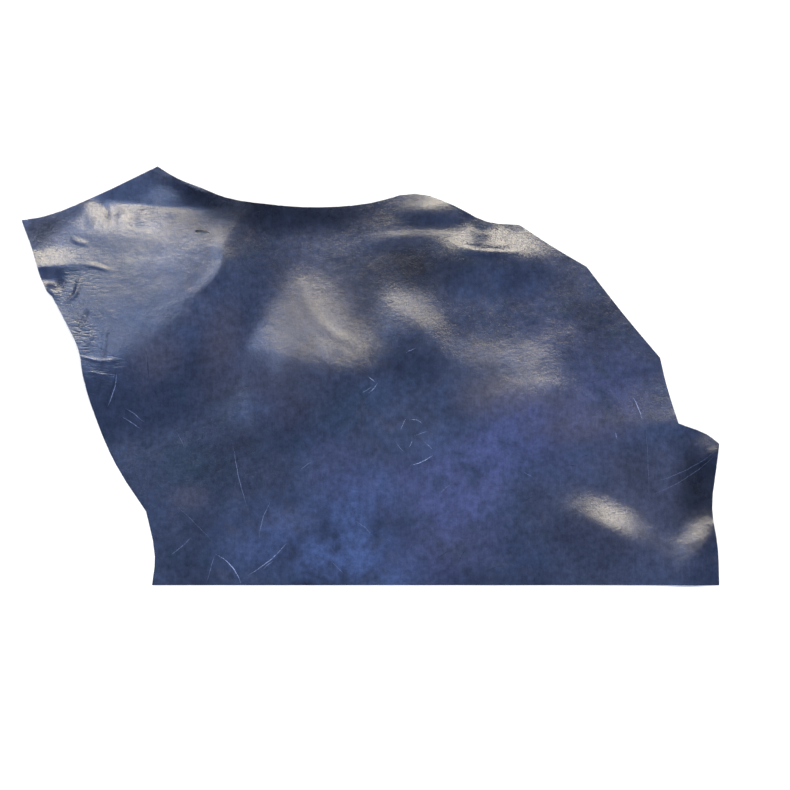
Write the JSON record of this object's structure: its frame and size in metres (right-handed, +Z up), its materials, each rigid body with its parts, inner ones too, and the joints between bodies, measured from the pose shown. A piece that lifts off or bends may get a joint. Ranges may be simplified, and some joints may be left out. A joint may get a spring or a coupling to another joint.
{
  "type": "leather hide",
  "caption": "Half hide of blue waxed leather lying flat with soft billows, a straight backbone cut and a natural outer edge.",
  "frame": {"origin": "middle of the hide's outline, on the surface that it lies on", "axes": "+X along the backbone cut towards the rump end, +Y from the backbone cut towards the belly edge, +Z up from the grain side"},
  "size_m": [1.5002, 0.9003, 0.0245],
  "materials": {
    "leather": "glossy waxed navy blue grain with paler scuffed dye, bare suede underside and cut edge"
  },
  "bodies": {
    "root": {"hide": "leather"}
  },
  "joints": []
}
